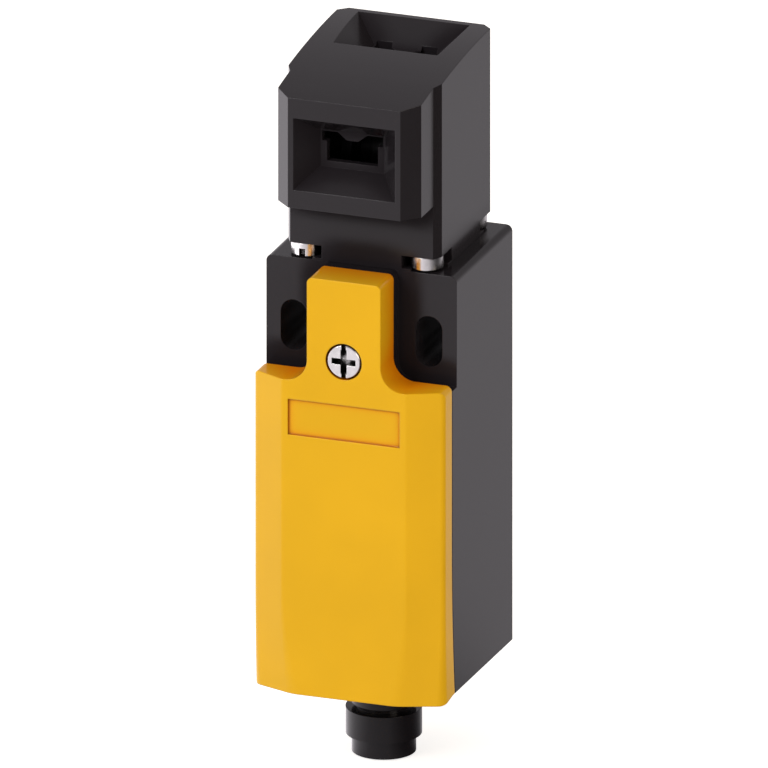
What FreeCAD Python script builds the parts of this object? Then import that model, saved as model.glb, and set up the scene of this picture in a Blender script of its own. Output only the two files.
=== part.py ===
import FreeCAD, Part

import math
import os

from FreeCAD import Vector

# Tongue interlock switch: a narrow moulded housing with a hooked yellow cover, an actuator head
# with a front and a top entry for a coded tongue, a contact block and a round device plug.
# Millimetres. Origin: rear mounting face, midway between the two fixing slots. +Z is up, -Y is
# the cover side, and heights named *_height are taken from the housing's foot.

# Fits
seat_gap = 0.05

# Housing
housing_width = 31.0
housing_height = 67.5
upper_depth = 25.0
lower_depth = 26.9
slot_height = 56.5
shelf_height = 49.6
side_wall = 2.1
rear_wall = 2.4
floor_wall = 3.0
ceiling_wall = 2.1
top_wall = 3.0
housing_edge_radius = 1.0
neck_half_width = 6.6
neck_front_wall = 7.4
neck_rear_wall = 4.0
ledge_width = 1.0
ledge_depth = 1.5
ledge_setback = 1.6
slot_width = 4.3
slot_length = 8.2
slot_spacing = 22.0

# Cover
parting_gap = 0.2
cover_depth = 5.9
cover_side_depth = 3.3
cover_flat_half = 10.1
cover_foot_flat_half = 8.4
cover_facet_height = 17.6
cover_junction_radius = 1.0
cover_foot_junction_radius = 6.0
cover_corner_radius = 1.0
cover_foot_corner_radius = 1.8
cover_shoulder_height = 50.5
cover_foot_drop = 0.6
cover_wall = 2.0
cover_floor_wall = 2.2
cover_boss_setback = 0.5
cover_tongue_half = 6.0
cover_tongue_height = 67.55
cover_tongue_fillet = 3.6
cover_tongue_corner = 0.9
cover_shoulder_corner = 1.0
parting_height = 24.0
parting_sweep = 1.4
label_half_width = 9.1
label_low = 41.6
label_high = 47.4
label_depth = 0.35
skirt_gap = 0.25
skirt_thickness = 1.0
skirt_web_half = 9.0
gasket_thickness = 0.8
gasket_gap = 0.1
hook_side_gap = 1.4
hook_width = 3.5
hook_thickness = 1.2
hook_reach = 2.2
hook_clearance = 0.2
tongue_wall = 1.6

# Cover screw
cover_screw_height = 54.5
cover_screw_head_radius = 2.7
cover_screw_head_depth = 2.1
cover_screw_counterbore = 2.95
cover_screw_radius = 1.75
cover_screw_length = 7.8
cover_screw_chamfer = 0.15
cover_screw_hole = 1.85
cover_screw_slot = 0.75
cover_screw_slot_depth = 0.8
cross_half = 1.95
cross_width = 1.0
cross_depth = 1.3
retainer_radius = 2.9
retainer_thickness = 0.7
retainer_groove_radius = 1.4
retainer_gap = 0.1
retainer_room = 0.6
cover_boss_radius = 4.2
cover_insert_radius = 2.8
cover_insert_bore = 2.0
cover_insert_length = 4.2
cover_insert_setback = 1.3

# Actuator head
head_width = 25.0
head_depth = 24.7
head_wall = 2.3
head_rear_height = 99.7
head_crown_radius = 158.2
head_crown_y = -0.5
head_front_chamfer = (0.85, 1.65)
head_rear_chamfer = (1.5, 1.4)
nose_half_width = 11.66
nose_projection = 7.8
nose_chamfer = 2.5
nose_bottom_height = 78.5
nose_wall = 2.3
pocket_size = 6.0
pocket_height = 2.4
pocket_ceiling = 2.0
clamp_lip = 0.35

# Entries for the tongue
entry_depth = 3.8
entry_plate = 1.2
entry_inner_half = 5.2
entry_inner_low = 84.5
entry_inner_high = 90.45
front_entry_half = 8.3
front_entry_low = 81.4
front_entry_high = 93.15
front_ear_top = 90.3
top_entry_half = 9.1
top_entry_low = 80.4
top_entry_high = 93.9
top_ear_top = 91.0
code_low = 85.5
code_high = 90.3
code_half = 4.15
code_ear_height = 1.6
code_ear_half = 4.95
code_ear_depth = 0.9
code_bump_root = 2.4
code_bump_tip = 0.95
code_bump_depth = 1.2
code_bump_radius = 0.9

# Head screws
head_screw_pitch = 19.4
head_screw_radius = 2.6
head_screw_shank = 1.5
head_screw_lip_radius = 1.7
head_screw_notch_floor = 1.9
head_screw_shank_length = 4.6
head_screw_notch_width = 1.0
head_screw_notch_height = 1.15
head_screw_right_turn = 120.0
head_screw_hole_depth = 5.4

# Rotor and plunger
rotor_rise = 15.0
rotor_forward = 12.85
rotor_hub_radius = 3.0
rotor_hub_half = 10.1
axle_radius = 1.5
axle_half = 11.4
axle_clearance = 0.05
cam_half_width = 1.4
cam_base_radius = 4.2
cam_involute_radius = 2.8
cam_reach = 6.6
cam_lead_in = 6.0
rotor_turn = 45.0
code_disc_radius = 7.8
code_disc_ring = 4.0
code_disc_inner = 3.4
code_disc_thickness = 1.6
code_notch_width = 3.4
code_notch_depth = 2.8
follower_gap = 0.1
plunger_radius = 2.25
plunger_clearance = 0.08
plunger_flange_radius = 4.6
plunger_flange = 0.8
plunger_pad_half = 2.8
plunger_pad_thickness = 1.5
plunger_pad_front = 5.6
plunger_pad_rear = 3.6
plunger_pad_corner = 0.8
plunger_end_height = 61.5
base_thickness = 2.4
base_arm_half = 10.0
base_arm_width = 5.0
guide_radius = 3.4
guide_height = 3.0
head_seal_inner = 3.9
head_seal_outer = 5.6
head_seal_thickness = 0.8
wiper_radius = 3.6
wiper_thickness = 1.6
plunger_spring_radius = 4.1
plunger_spring_wire = 0.3
plunger_spring_turns = 2.5

# Contact block
block_side_gap = 1.2
block_top_height = 45.5
block_bottom_height = 14.5
block_front = 21.5
block_barrier_front = 23.6
terminal_partition = 0.5
lead_way_length = 6.4
chamber_rear = 9.0
chamber_top_height = 43.5
chamber_bottom_height = 17.0
window_plate = 0.8
window_overlap = 0.8
block_screw_outset = 0.15
block_screw_height = 31.0
block_screw_radius = 1.25
block_screw_length = 5.8
block_screw_head_radius = 2.0
block_screw_head = 1.6
block_boss_radius = 2.6
block_boss_length = 4.0
block_boss_gap = 0.1
carrier_half = 2.2
carrier_side_gap = 1.0
carrier_depth_half = 2.4
carrier_stem_radius = 2.0
stem_clearance = 0.08
carrier_sill = 1.5
guide_rib_half = 1.5
guide_rib_gap = 0.15
strip_thickness = 0.6
strip_half_depth = 1.4
button_radius = 0.9
button_height = 0.4
button_setback = 1.2
bridge_end_gap = 0.8
contact_gap = 0.15
break_strip_height = 42.2
make_strip_height = 22.6
bridge_window = 4.65
bridge_window_half = 1.6
contact_spring_radius = 1.0
contact_spring_wire = 0.2
contact_spring_turns = 3
return_spring_radius = 1.5
return_spring_wire = 0.25
return_spring_turns = 4
spring_facets = 12

# Terminals
terminal_width = 3.7
terminal_side_wall = 0.6
terminal_leg = 5.9
terminal_screw_drop = 2.9
terminal_screw_radius = 1.3
terminal_head_radius = 1.75
terminal_head_depth = 1.7
terminal_screw_length = 6.8
clamp_hole = 1.5
terminal_slot_width = 0.6
terminal_slot_depth = 0.7
clamp_thickness = 1.1
clamp_height = 5.0
clamp_edge = 0.1

# Device plug
plug_y = -15.0
plug_collar_radius = 5.0
plug_collar_drop = 6.7
plug_groove_radius = 4.2
plug_groove_width = 0.78
plug_thread_radius = 5.88
plug_thread_length = 4.25
plug_tip_radius = 4.965
plug_tip_length = 2.9
plug_bore_radius = 4.25
plug_bore_depth = 6.6
plug_stub_radius = 4.4
plug_stub_clearance = 0.1
plug_stub_rise = 3.0
plug_insert_radius = 3.5
plug_key_width = 1.0
plug_key_depth = 0.7
plug_key_recess = 0.4
plug_pin_radius = 0.5
plug_pin_circle = 5.0
plug_pin_recess = 1.2
plug_pin_tail = 1.8
locknut_flats = 12.5
locknut_thickness = 2.2
plug_seal_radius = 5.4
plug_seal_thickness = 0.9

# Internal leads
lead_radius = 0.65
conductor_radius = 0.42
conductor_length = 1.4
lead_bend = 3.0
lead_end_run = 1.7
lead_facets = 8

# Places worked out from the sizes above
foot_z = -slot_height
top_z = housing_height - slot_height
half_width = housing_width / 2
cavity_half = half_width - side_wall
front_y = -lower_depth
cover_back_y = front_y - parting_gap
cover_front_y = cover_back_y - cover_depth
cover_side_y = cover_back_y - cover_side_depth
head_front_y = -upper_depth
head_mid_y = head_front_y + head_depth / 2
rotor_y = -rotor_forward
rotor_z = top_z + rotor_rise
stem_y = head_mid_y
cover_screw_z = foot_z + cover_screw_height
plunger_travel = cam_involute_radius * math.radians(rotor_turn)
head_screw_half = head_screw_pitch / 2
screw_seat_z = top_z + clamp_lip
block_half = cavity_half - block_side_gap
terminal_outer = block_half - terminal_side_wall
terminal_inner = terminal_outer - terminal_width
chamber_half = terminal_inner - terminal_partition
bridge_half = chamber_half - bridge_end_gap
button_offset = bridge_half - button_setback
strip_tip = carrier_half + carrier_side_gap
block_screw_half = (guide_rib_half + chamber_half) / 2 + block_screw_outset
hook_outer = cavity_half - hook_side_gap
chamber_floor_z = foot_z + floor_wall
chamber_ceiling_z = foot_z + shelf_height - ceiling_wall
plug_collar_z = foot_z - plug_collar_drop
plug_thread_z = plug_collar_z - plug_groove_width
plug_tip_z = plug_thread_z - plug_thread_length
plug_end_z = plug_tip_z - plug_tip_length

X_AXIS = Vector(1, 0, 0)
Y_AXIS = Vector(0, 1, 0)
Z_AXIS = Vector(0, 0, 1)
EDGE = 0.01


def box(x_range, y_range, z_range):
    """An upright block between two corners, given as (low, high) pairs."""
    low = Vector(min(x_range), min(y_range), min(z_range))
    high = Vector(max(x_range), max(y_range), max(z_range))
    size = high - low
    return Part.makeBox(size.x, size.y, size.z, low)


def rod(radius, start, axis, length):
    """A cylinder from a start point along an axis."""
    return Part.makeCylinder(radius, length, start, axis)


def corner_arc(before, corner, after, radius):
    """Start, middle and end of the arc that rounds a corner."""
    back = (before - corner).normalize()
    ahead = (after - corner).normalize()
    half = back.getAngle(ahead) / 2
    reach = radius / math.tan(half)
    centre = corner + (back + ahead).normalize() * (radius / math.sin(half))
    middle = centre + (corner - centre).normalize() * radius
    return corner + back * reach, middle, corner + ahead * reach


def outline(corners, place):
    """A closed wire through corners (u, v) or (u, v, radius), set in space by place."""
    points = [place(c[0], c[1]) for c in corners]
    radii = [c[2] if len(c) > 2 else 0 for c in corners]
    count = len(points)
    edges = []
    starts = []
    ends = []
    for i, point in enumerate(points):
        if radii[i]:
            start, middle, end = corner_arc(points[i - 1], point, points[(i + 1) % count], radii[i])
            edges.append(Part.Arc(start, middle, end).toShape())
        else:
            start = end = point
        starts.append(start)
        ends.append(end)
    for i in range(count):
        following = starts[(i + 1) % count]
        if ends[i].distanceToPoint(following) > EDGE / 10:
            edges.append(Part.makeLine(ends[i], following))
    return Part.Wire(Part.__sortEdges__(edges))


def prism(axis, corners, start, end):
    """A profile swept straight along one axis: (y, z), (x, z) or (x, y) corners."""
    places = {
        "x": lambda u, v: Vector(start, u, v),
        "y": lambda u, v: Vector(u, start, v),
        "z": lambda u, v: Vector(u, v, start),
    }
    along = {"x": X_AXIS, "y": Y_AXIS, "z": Z_AXIS}[axis]
    return Part.Face(outline(corners, places[axis])).extrude(along * (end - start))


def both_sides(shape):
    """A shape and its mirror image across the middle plane."""
    return [shape, shape.mirror(Vector(0, 0, 0), X_AXIS)]


def fuse(shapes):
    """One clean solid from touching shapes."""
    first, *others = shapes
    return first.multiFuse(others).removeSplitter() if others else first


def round_edges(shape, radius, wanted):
    """Rounds the straight edges that wanted() picks by their middle point and direction."""
    picked = []
    for edge in shape.Edges:
        if edge.Curve.TypeId != "Part::GeomLine":
            continue
        first, last = edge.Vertexes[0].Point, edge.Vertexes[-1].Point
        if wanted((first + last) * 0.5, last - first):
            picked.append(edge)
    return shape.makeFillet(radius, picked)


def ring(outer, inner, centre, axis, length):
    """A plain ring."""
    return rod(outer, centre, axis, length).cut(rod(inner, centre, axis, length))


def polygon_tube(points, radius, sides):
    """A many-sided tube along straight runs with mitred corners."""
    run = (points[1] - points[0]).normalize()
    across = run.cross(Z_AXIS if abs(run.z) < 0.9 else X_AXIS).normalize()
    up = run.cross(across)
    angles = [2 * math.pi * (k + 0.5) / sides for k in range(sides)]
    rings = [[points[0] + (across * math.cos(a) + up * math.sin(a)) * radius for a in angles]]
    for i in range(1, len(points)):
        run = (points[i] - points[i - 1]).normalize()
        mitre = run + (points[i + 1] - points[i]).normalize() if i + 1 < len(points) else run
        rings.append([p + run * ((points[i] - p).dot(mitre) / run.dot(mitre)) for p in rings[-1]])
    faces = [Part.Face(Part.makePolygon([*end, end[0]])) for end in (rings[0][::-1], rings[-1])]
    for near, far in zip(rings, rings[1:]):
        for k in range(sides):
            n = (k + 1) % sides
            faces.append(Part.Face(Part.makePolygon([near[k], near[n], far[n], far[k], near[k]])))
    return Part.Solid(Part.Shell(faces))


def coil(mean_radius, wire_radius, turns, low, high):
    """A compression spring on the plunger's axis between two flat seats."""
    count = round(turns * spring_facets)
    points = []
    for i in range(count + 1):
        angle = 2 * math.pi * i / spring_facets
        z = low + wire_radius + (high - low - 2 * wire_radius) * i / count
        points.append(Vector(mean_radius * math.cos(angle), stem_y + mean_radius * math.sin(angle), z))
    return polygon_tube(points, wire_radius, 4)


def save(name, *shapes):
    """Writes one sub-part, which may be a group of equal pieces."""
    shape = shapes[0] if len(shapes) == 1 else Part.makeCompound(list(shapes))
    shape.exportStep(f"parts/{name}.step")


def slot_positions():
    return [-slot_spacing / 2, slot_spacing / 2]


def head_screw_places():
    """The four screw centres, a square about the head's middle, so the head can be re-set."""
    return [
        (x * head_screw_half, head_mid_y + y * head_screw_half)
        for x in (-1, 1)
        for y in (-1, 1)
    ]


def parting_region(gap, rear_y):
    """Everything behind the parting line, seen from the side: straight, then swept back at the foot."""
    plane = front_y - gap
    bend_z = foot_z + parting_height
    low_z = foot_z - 2 * cover_foot_drop
    middle_z = (bend_z + low_z) / 2
    sweep = parting_sweep
    start = Vector(-half_width - 1, plane, bend_z)
    middle = Vector(-half_width - 1, plane + sweep / 4, middle_z)
    end = Vector(-half_width - 1, plane + sweep, low_z)
    top = Vector(-half_width - 1, plane, top_z + 5)
    rear_top = Vector(-half_width - 1, rear_y, top_z + 5)
    rear_low = Vector(-half_width - 1, rear_y, low_z)
    edges = [
        Part.makeLine(top, start),
        Part.Arc(start, middle, end).toShape(),
        Part.makeLine(end, rear_low),
        Part.makeLine(rear_low, rear_top),
        Part.makeLine(rear_top, top),
    ]
    return Part.Face(Part.Wire(edges)).extrude(X_AXIS * (housing_width + 2))


# Housing


def housing():
    """Moulded body: a deep lower chamber open to the front, a narrow neck between the slots."""
    lower = box((-half_width, half_width), (front_y - 1, 0), (foot_z, foot_z + shelf_height))
    lower = lower.common(parting_region(0, 0))
    upper = box((-half_width, half_width), (-upper_depth, 0), (foot_z + shelf_height, top_z))
    land_half = cover_tongue_half - EDGE
    shelf_z = foot_z + shelf_height
    land = prism(
        "y",
        [
            (-land_half, top_z, cover_tongue_corner),
            (land_half, top_z, cover_tongue_corner),
            (land_half, shelf_z, cover_tongue_fillet),
            (half_width - 2, shelf_z),
            (half_width - 2, shelf_z - 1),
            (2 - half_width, shelf_z - 1),
            (2 - half_width, shelf_z),
            (-land_half, shelf_z, cover_tongue_fillet),
        ],
        front_y,
        -upper_depth,
    )
    body = fuse([lower, upper, land])
    body = round_edges(
        body,
        housing_edge_radius,
        lambda middle, run: (
            middle.z > top_z - EDGE and abs(run.y) > 1 and abs(middle.x) > half_width - EDGE
        ),
    )
    chamber = box(
        (-cavity_half, cavity_half),
        (front_y - 1, -rear_wall),
        (chamber_floor_z, chamber_ceiling_z),
    )
    neck = box(
        (-neck_half_width, neck_half_width),
        (front_y + neck_front_wall, -neck_rear_wall),
        (chamber_ceiling_z - 1, top_z - top_wall),
    )
    hollow = body.cut(chamber).cut(neck)
    return fuse([hollow, gasket_ledge(), *block_bosses()]).cut(housing_holes())


def block_bosses():
    """Two blind bosses on the rear wall that centre and hold the contact block."""
    bosses = []
    for x in (-block_screw_half, block_screw_half):
        start = Vector(x, -rear_wall - block_boss_length, foot_z + block_screw_height)
        boss = rod(block_boss_radius, start, Y_AXIS, block_boss_length + 1)
        bore_y = -chamber_rear
        bore = rod(
            block_screw_radius,
            Vector(x, bore_y, foot_z + block_screw_height),
            Y_AXIS,
            block_screw_length,
        )
        bosses.append(boss.cut(bore))
    return bosses


def gasket_ledge():
    """The frame inside the mouth that the cover's gasket closes on."""
    y_range = (front_y + ledge_setback, front_y + ledge_setback + ledge_depth)
    low_z = ledge_low_z()
    outer = box((-cavity_half, cavity_half), y_range, (low_z, chamber_ceiling_z))
    inner = box(
        (ledge_width - cavity_half, cavity_half - ledge_width),
        y_range,
        (low_z + ledge_width, chamber_ceiling_z - ledge_width - skirt_gap),
    )
    return outer.cut(inner)


def ledge_low_z():
    return chamber_floor_z + hook_clearance + hook_thickness + skirt_gap


def housing_holes():
    """Fixing slots, plunger passage with its two seal seats, insert seats and the plug's bore."""
    cutters = []
    run = (slot_length - slot_width) / 2
    for x in slot_positions():
        cutters.append(
            prism(
                "y",
                [
                    (x - slot_width / 2, -run - slot_width / 2, slot_width / 2),
                    (x + slot_width / 2, -run - slot_width / 2, slot_width / 2),
                    (x + slot_width / 2, run + slot_width / 2, slot_width / 2),
                    (x - slot_width / 2, run + slot_width / 2, slot_width / 2),
                ],
                -upper_depth - 1,
                1,
            )
        )
    passage = Vector(0, stem_y, top_z - top_wall - 1)
    cutters.append(rod(plunger_radius + 3 * plunger_clearance, passage, Z_AXIS, top_wall + 2))
    seal_low = top_z - head_seal_thickness - wiper_thickness
    cutters.append(rod(wiper_radius, Vector(0, stem_y, seal_low), Z_AXIS, top_wall))
    seal_seat = Vector(0, stem_y, top_z - head_seal_thickness)
    cutters.append(rod(head_seal_outer, seal_seat, Z_AXIS, head_seal_thickness + 1))
    for x, y in head_screw_places():
        start = Vector(x, y, top_z - head_screw_hole_depth)
        cutters.append(rod(head_screw_shank, start, Z_AXIS, head_screw_hole_depth + 1))
    insert_y = front_y + cover_insert_setback
    recess = Vector(0, front_y - 1, cover_screw_z)
    cutters.append(rod(retainer_radius + retainer_room, recess, Y_AXIS, 1 + cover_insert_setback))
    seat = Vector(0, insert_y, cover_screw_z)
    cutters.append(rod(cover_insert_radius, seat, Y_AXIS, cover_insert_length))
    plug = Vector(0, plug_y, foot_z - 1)
    cutters.append(rod(plug_stub_radius + plug_stub_clearance, plug, Z_AXIS, floor_wall + 2))
    cutters.append(rod(plug_seal_radius, plug, Z_AXIS, 1 + plug_seal_thickness))
    return cutters


# Cover


def facet_section(height):
    """The cover's outer outline at one height: flat front, two facets, short sides."""
    foot_share = max(0.0, (cover_facet_height - cover_foot_drop - height) / cover_facet_height) ** 2
    flat = cover_flat_half - (cover_flat_half - cover_foot_flat_half) * foot_share
    junction_gain = cover_foot_junction_radius - cover_junction_radius
    corner_gain = cover_foot_corner_radius - cover_corner_radius
    junction = cover_junction_radius + junction_gain * foot_share
    corner = cover_corner_radius + corner_gain * foot_share
    rear_y = -upper_depth + 2
    return [
        (-half_width, rear_y),
        (-half_width, cover_side_y, corner),
        (-flat, cover_front_y, junction),
        (flat, cover_front_y, junction),
        (half_width, cover_side_y, corner),
        (half_width, rear_y),
    ]


def facet_body():
    """The cover's plan outline carried up the cover: straight above, drawn in towards the foot."""
    bend = cover_facet_height - cover_foot_drop
    steps = 5
    wires = []
    for i in range(steps + 1):
        height = -cover_foot_drop - 1 + (bend + cover_foot_drop + 1) * i / steps
        z = foot_z + height
        wires.append(outline(facet_section(height), lambda u, v, z=z: Vector(u, v, z)))
    foot = Part.makeLoft(wires, True, True)
    straight = prism("z", facet_section(bend), foot_z + bend, top_z + 2)
    return foot, straight


def cover_front_outline(inset):
    """The stepped front view, drawn in by inset: (x, z, radius) corners."""
    tongue = cover_tongue_half - inset
    shoulder = half_width - inset
    shoulder_z = foot_z + cover_shoulder_height - inset
    tongue_z = foot_z + cover_tongue_height - inset
    foot = foot_z - 2 * cover_foot_drop + inset
    return [
        (-shoulder, foot),
        (-shoulder, shoulder_z, cover_shoulder_corner),
        (-tongue, shoulder_z, cover_tongue_fillet),
        (-tongue, tongue_z, cover_tongue_corner),
        (tongue, tongue_z, cover_tongue_corner),
        (tongue, shoulder_z, cover_tongue_fillet),
        (shoulder, shoulder_z, cover_shoulder_corner),
        (shoulder, foot),
    ]


def cover():
    """Stepped shell with facetted sides; it hooks in at the foot and one screw holds it on top."""
    front_view = prism("y", cover_front_outline(0), cover_front_y - 1, -upper_depth + 1)
    foot, straight = facet_body()
    shell = fuse([foot.common(front_view), straight.common(front_view)])
    foot_cut = prism(
        "x",
        [
            (cover_front_y - 1, foot_z - cover_foot_drop),
            (cover_side_y, foot_z - cover_foot_drop),
            (cover_back_y + cover_foot_drop, foot_z),
            (0, foot_z),
            (0, foot_z - cover_depth),
            (cover_front_y - 1, foot_z - cover_depth),
        ],
        -half_width - 1,
        half_width + 1,
    )
    shell = shell.cut(foot_cut).cut(parting_region(parting_gap, 0))
    lean = math.atan2(cover_depth - cover_side_depth, half_width - cover_flat_half)
    inner_flat = cover_foot_flat_half - cover_wall * math.tan(lean / 2)
    inner_side = half_width - cover_wall
    inner_side_y = cover_side_y + cover_wall * math.tan((math.pi / 2 - lean) / 2)
    hollow_back = -upper_depth + 2
    plan = prism(
        "z",
        [
            (-inner_side, hollow_back),
            (-inner_side, inner_side_y),
            (-inner_flat, cover_front_y + cover_wall),
            (inner_flat, cover_front_y + cover_wall),
            (inner_side, inner_side_y),
            (inner_side, hollow_back),
        ],
        foot_z - cover_foot_drop + cover_floor_wall,
        foot_z + cover_shoulder_height - cover_wall,
    )
    shell = shell.cut(plan)
    tongue_room = box(
        (tongue_wall - cover_tongue_half, cover_tongue_half - tongue_wall),
        (cover_front_y + cover_wall, hollow_back),
        (foot_z + cover_shoulder_height - cover_wall - 1, foot_z + cover_tongue_height - tongue_wall),
    )
    shell = shell.cut(tongue_room)
    boss_front = cover_front_y + cover_boss_setback
    boss = rod(
        cover_boss_radius,
        Vector(0, boss_front, cover_screw_z),
        Y_AXIS,
        cover_back_y - boss_front,
    )
    shell = fuse([shell, boss, *cover_skirt(), *cover_hooks()])
    shell = shell.cut(
        rod(
            cover_screw_hole,
            Vector(0, cover_front_y - 1, cover_screw_z),
            Y_AXIS,
            cover_depth + 2,
        )
    )
    counterbore = rod(
        cover_screw_counterbore,
        Vector(0, cover_front_y - 1, cover_screw_z),
        Y_AXIS,
        1 + cover_screw_head_depth,
    )
    label = box(
        (-label_half_width, label_half_width),
        (cover_front_y - 1, cover_front_y + label_depth),
        (foot_z + label_low, foot_z + label_high),
    )
    return shell.cut(counterbore).cut(label)


def skirt_frame(y_range):
    """The frame that plugs into the housing's mouth."""
    side = cavity_half - skirt_gap
    low = ledge_low_z()
    high = chamber_ceiling_z - skirt_gap
    outer = box((-side, side), y_range, (low, high))
    inner = box(
        (skirt_thickness - side, side - skirt_thickness),
        y_range,
        (low + skirt_thickness, high - skirt_thickness),
    )
    return outer.cut(inner)


def gasket_y():
    back = front_y + ledge_setback - gasket_gap
    return back - gasket_thickness, back


def cover_skirt():
    gasket_front = gasket_y()[0]
    root_y = cover_side_y + cover_wall / 4
    frame = skirt_frame((root_y, gasket_front))
    root_top = chamber_ceiling_z - skirt_gap
    web = box(
        (-skirt_web_half, skirt_web_half),
        (cover_front_y + cover_wall / 2, root_y),
        (root_top - skirt_thickness, root_top),
    )
    return [frame, web]


def cover_hooks():
    """Two tabs that reach over the housing's floor, so the cover tips out about its foot."""
    tab_low = chamber_floor_z + hook_clearance
    tab_back = front_y + hook_reach + parting_gap
    hooks = []
    for side in (-1, 1):
        x_range = (side * (hook_outer - hook_width), side * hook_outer)
        tab = box(x_range, (cover_side_y, tab_back), (tab_low, tab_low + hook_thickness))
        web = box(x_range, (cover_side_y, cover_back_y), (foot_z + 1, tab_low + hook_thickness))
        hooks += [tab, web]
    return hooks


def cover_gasket():
    return skirt_frame(gasket_y())


def cover_screw():
    """Captive screw with a slot across its head and a cross recess."""
    head_start = Vector(0, cover_front_y, cover_screw_z)
    head = rod(cover_screw_head_radius, head_start, Y_AXIS, cover_screw_head_depth - seat_gap)
    rims = [edge for edge in head.Edges if edge.Curve.TypeId == "Part::GeomCircle"]
    outer_rim = min(rims, key=lambda edge: edge.CenterOfMass.y)
    head = head.makeChamfer(cover_screw_chamfer, [outer_rim])
    shank_start = Vector(0, cover_front_y + cover_screw_head_depth / 2, cover_screw_z)
    shank_end = cover_front_y + cover_screw_head_depth + cover_screw_length
    shank = rod(cover_screw_radius, shank_start, Y_AXIS, shank_end - shank_start.y)
    groove_y = cover_back_y + retainer_gap
    groove = ring(
        cover_screw_radius + 1,
        retainer_groove_radius,
        Vector(0, groove_y, cover_screw_z),
        Y_AXIS,
        retainer_thickness,
    )
    slot = box(
        (-cover_screw_slot / 2, cover_screw_slot / 2),
        (cover_front_y - 1, cover_front_y + cover_screw_slot_depth),
        (cover_screw_z - cover_screw_head_radius, cover_screw_z + cover_screw_head_radius),
    )
    arms = []
    for x_half, z_half in ((cross_half, cross_width / 2), (cross_width / 2, cross_half)):
        arms.append(
            box(
                (-x_half, x_half),
                (cover_front_y - 1, cover_front_y + cross_depth),
                (cover_screw_z - z_half, cover_screw_z + z_half),
            )
        )
    return fuse([head, shank]).cut(groove).cut([slot, *arms])


def cover_screw_retainer():
    start = Vector(0, cover_back_y + retainer_gap, cover_screw_z)
    return ring(retainer_radius, retainer_groove_radius, start, Y_AXIS, retainer_thickness)


def cover_insert():
    start = Vector(0, front_y + cover_insert_setback, cover_screw_z)
    return ring(cover_insert_radius, cover_insert_bore, start, Y_AXIS, cover_insert_length)


# Actuator head


def crowned(shape):
    """Cuts a block off at the head's gently curved top."""
    centre_z = foot_z + head_rear_height - head_crown_radius
    centre = Vector(-head_width, head_crown_y, centre_z)
    return shape.common(rod(head_crown_radius, centre, X_AXIS, 2 * head_width))


def entry_cutter(place, mouth, ear_top):
    """Funnel and coded opening, in the entry's own (x, height, depth) terms."""
    outer_half, outer_low, outer_high = mouth
    lead_in = 1.0
    grow = 1 + lead_in / entry_depth

    def rectangle(half, low, high, depth):
        corners = [(-half, low), (half, low), (half, high), (-half, high)]
        return outline(corners, lambda u, v: place(u, v, depth))

    mouth_half = entry_inner_half + (outer_half - entry_inner_half) * grow
    mouth_low = entry_inner_low - (entry_inner_low - outer_low) * grow
    mouth_high = entry_inner_high + (outer_high - entry_inner_high) * grow
    funnel = Part.makeLoft(
        [
            rectangle(mouth_half, mouth_low, mouth_high, -lead_in),
            rectangle(entry_inner_half, entry_inner_low, entry_inner_high, entry_depth),
        ],
        True,
        True,
    )
    ear = code_high - code_ear_height
    bump = code_high - code_bump_depth
    code = [
        (-code_half, code_low),
        (code_half, code_low),
        (code_half, code_high),
        (code_bump_root, code_high, code_bump_radius),
        (code_bump_tip, bump, code_bump_radius),
        (-code_bump_tip, bump, code_bump_radius),
        (-code_bump_root, code_high, code_bump_radius),
        (-code_half, code_high),
    ]
    run = place(0, 0, 1) - place(0, 0, 0)

    def opening(corners, start):
        face = Part.Face(outline(corners, lambda u, v: place(u, v, start)))
        return face.extrude(run * (entry_depth + entry_plate + 1 - start))

    cutters = [funnel, opening(code, entry_depth - EDGE)]
    for side in (-1, 1):
        inner = side * code_bump_root
        outer = side * code_ear_half
        corners = [(inner, ear), (outer, ear), (outer, ear_top), (inner, ear_top)]
        cutters.append(opening(corners, entry_depth - code_ear_depth))
    return cutters


def front_place(x, height, depth):
    return Vector(x, head_front_y - nose_projection + depth, foot_z + height)


def top_place(x, height, depth):
    """The top entry is the front one turned over the rotor's diagonal."""
    rise = foot_z + height - rotor_z
    return Vector(x, rotor_y + rise, foot_z + head_rear_height - depth)


def head_housing():
    """Moulded head: body, projecting nose, entries, corner pockets and axle grooves."""
    half = head_width / 2
    rear_y = head_front_y + head_depth
    top = foot_z + head_rear_height + 1
    front_x, front_run = head_front_chamfer
    rear_x, rear_run = head_rear_chamfer
    body = prism(
        "z",
        [
            (-half, head_front_y + front_run),
            (-half + front_x, head_front_y),
            (half - front_x, head_front_y),
            (half, head_front_y + front_run),
            (half, rear_y - rear_run),
            (half - rear_x, rear_y),
            (rear_x - half, rear_y),
            (-half, rear_y - rear_run),
        ],
        top_z,
        top,
    )
    nose_y = head_front_y - nose_projection
    nose = prism(
        "z",
        [
            (-nose_half_width, head_front_y + 1),
            (-nose_half_width, nose_y + nose_chamfer),
            (nose_chamfer - nose_half_width, nose_y),
            (nose_half_width - nose_chamfer, nose_y),
            (nose_half_width, nose_y + nose_chamfer),
            (nose_half_width, head_front_y + 1),
        ],
        foot_z + nose_bottom_height,
        top,
    )
    casing = fuse([crowned(body), crowned(nose)])
    return casing.cut(head_hollows()).cut(head_pockets())


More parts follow.
